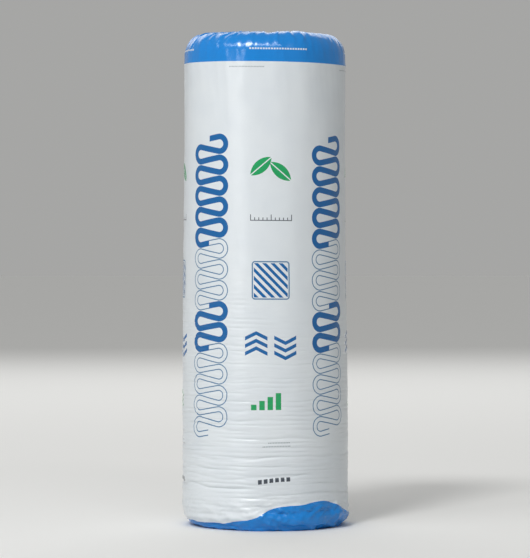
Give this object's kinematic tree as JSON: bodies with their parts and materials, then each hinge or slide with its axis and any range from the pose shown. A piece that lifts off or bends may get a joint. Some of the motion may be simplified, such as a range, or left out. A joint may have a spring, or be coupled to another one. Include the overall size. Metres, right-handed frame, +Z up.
{
  "type": "insulation roll",
  "caption": "Glass wool blanket rolled up tight and packed in a printed plastic film sleeve, standing on its end.",
  "frame": {"origin": "centre of the lower end, in the plane that the roll stands on", "axes": "+Z up along the roll's axis, the film's lap seam at the back towards +X +Y"},
  "size_m": [0.3999, 0.4, 1.2],
  "materials": {
    "wool": "matt tan-brown glass wool, fibrous, with the edges of its turns open on both ends",
    "film": "white polyethylene film with a soft gloss, wrinkled, printed with blue end bands and a blue, green and grey pattern"
  },
  "bodies": {
    "root": {"wool_roll": "wool", "film_wrap": "film"}
  },
  "joints": []
}
